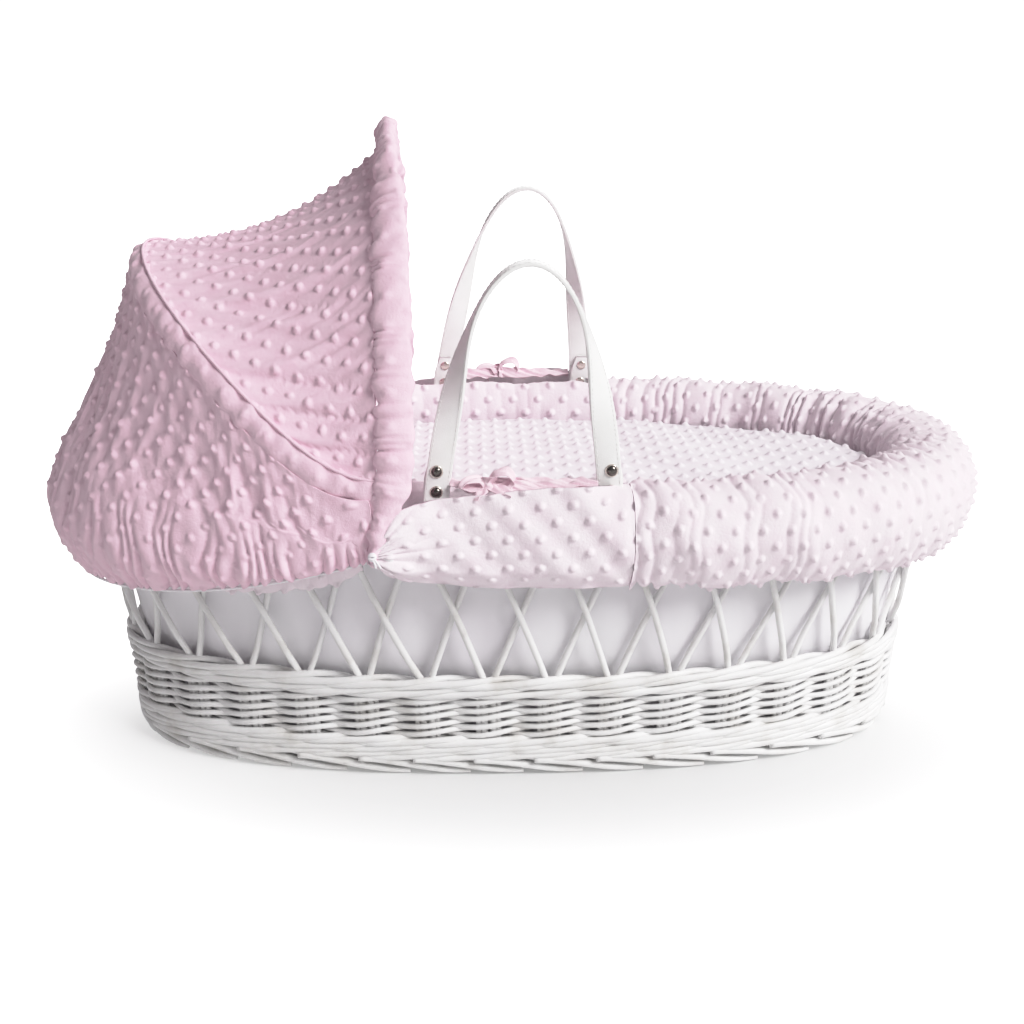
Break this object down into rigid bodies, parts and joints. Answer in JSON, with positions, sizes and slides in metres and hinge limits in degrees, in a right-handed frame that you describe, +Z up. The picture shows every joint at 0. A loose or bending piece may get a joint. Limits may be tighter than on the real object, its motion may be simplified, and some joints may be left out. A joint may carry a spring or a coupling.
{
  "type": "moses basket",
  "caption": "Willow baby basket with an open crossed-stake wall, padded cloth liner, coverlet, folding hood on hoops and riveted strap handles.",
  "frame": {"origin": "on the floor under the middle of the willow basket", "axes": "+X to the foot end, the hood is at -X, -Y is the near side, +Z up"},
  "size_m": [0.904, 0.5122, 0.602],
  "materials": {
    "white_willow": "white satin paint over willow",
    "pink_dimple_fleece": "short soft pile with raised dots",
    "white_cotton": "plain weave, matt",
    "pink_ribbon": "woven ribbon, slight sheen",
    "strap_leather": "white coated, stitched",
    "nickel": "polished dark nickel",
    "steel_wire": "plastic coated wire",
    "white_plastic": "satin"
  },
  "bodies": {
    "basket": {"base_mat": "white_willow", "base_stick_far": "white_willow", "base_stick_middle": "white_willow", "base_stick_near": "white_willow", "bumper_foot": "pink_dimple_fleece", "bumper_head": "pink_dimple_fleece", "crossed_stakes": "white_willow", "foot_border": "white_willow", "hem_elastic": "white_cotton", "hood_rear": "pink_dimple_fleece", "hoop_cap_far": "white_plastic", "hoop_cap_near": "white_plastic", "inner_panel_far": "pink_dimple_fleece", "inner_panel_near": "pink_dimple_fleece", "lining": "white_cotton", "pivot_bracket_far": "white_plastic", "pivot_bracket_near": "white_plastic", "ribbon_far": "pink_ribbon", "ribbon_near": "pink_ribbon", "rim_border": "white_willow", "side_flap_far": "pink_dimple_fleece", "side_flap_near": "pink_dimple_fleece", "tie_cord_far": "white_cotton", "tie_cord_near": "white_cotton", "weave_row_01": "white_willow", "weave_row_02": "white_willow", "weave_row_03": "white_willow", "weave_row_04": "white_willow", "weave_row_05": "white_willow", "weave_row_06": "white_willow"},
    "mid_bow": {"mid_hoop": "steel_wire", "mid_piping": "pink_dimple_fleece"},
    "front_bow": {"front_hoop": "steel_wire", "front_casing": "pink_dimple_fleece", "hood_roof": "pink_dimple_fleece"},
    "bedding": {"mattress": "white_cotton", "coverlet": "pink_dimple_fleece"},
    "handle_near": {"strap_near": "strap_leather", "rivet_near_head_low": "nickel", "rivet_near_head_high": "nickel", "rivet_near_foot_low": "nickel", "rivet_near_foot_high": "nickel"},
    "handle_far": {"strap_far": "strap_leather", "rivet_far_head_low": "nickel", "rivet_far_head_high": "nickel", "rivet_far_foot_low": "nickel", "rivet_far_foot_high": "nickel"}
  },
  "joints": [
    {"name": "mid_hoop_fold", "type": "hinge", "parent": "basket", "child": "mid_bow", "pos_m": [-0.1145, 0, 0.253], "axis": [0, 1, 0], "range_deg": [-40, 0], "deforming": ["hood_rear", "mid_piping"]},
    {"name": "front_hoop_fold", "type": "hinge", "parent": "mid_bow", "child": "front_bow", "pos_m": [-0.1145, 0, 0.253], "axis": [0, 1, 0], "range_deg": [-40, 0], "deforming": ["hood_roof", "front_casing"]},
    {"name": "handle_near_swing", "type": "hinge", "parent": "basket", "child": "handle_near", "pos_m": [0.001, -0.2113, 0.275], "axis": [1, 0, 0], "range_deg": [-60, 40], "deforming": ["inner_panel_near", "side_flap_near"]},
    {"name": "handle_far_swing", "type": "hinge", "parent": "basket", "child": "handle_far", "pos_m": [0.001, 0.2113, 0.275], "axis": [1, 0, 0], "range_deg": [-40, 60], "deforming": ["inner_panel_far", "side_flap_far"]},
    {"name": "bedding_lift", "type": "slide", "parent": "basket", "child": "bedding", "axis": [0, 0, 1], "range_m": [0, 0.02]}
  ],
  "couplings": [
    {"joint": "front_hoop_fold", "follows": "mid_hoop_fold", "ratio": 0.98}
  ]
}
